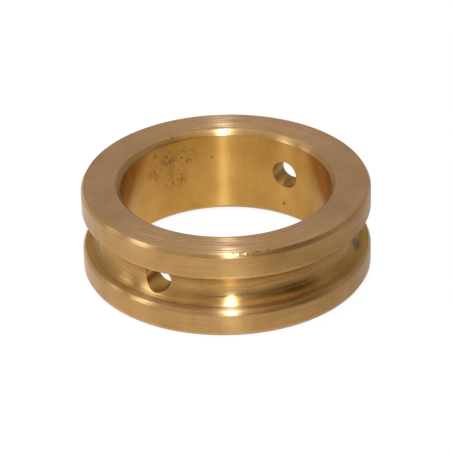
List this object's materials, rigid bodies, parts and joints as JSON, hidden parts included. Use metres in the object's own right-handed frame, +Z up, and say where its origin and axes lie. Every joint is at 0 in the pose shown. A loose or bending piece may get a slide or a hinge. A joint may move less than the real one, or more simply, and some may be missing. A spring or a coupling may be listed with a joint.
{
  "type": "bushing",
  "caption": "Turned bronze bushing: a plain bored ring with chamfered ends, a round-bottomed oil groove around the outside and cross-drilled oil holes.",
  "frame": {"origin": "centre of the lower end face, on the bore's axis", "axes": "+Z up along the bore's axis; the oil holes are drilled along Y"},
  "size_m": [0.055, 0.055, 0.0175],
  "materials": {
    "bronze": "bare turned bronze, satin, with fine feed marks around the axis"
  },
  "bodies": {
    "root": {"bushing": "bronze"}
  },
  "joints": []
}
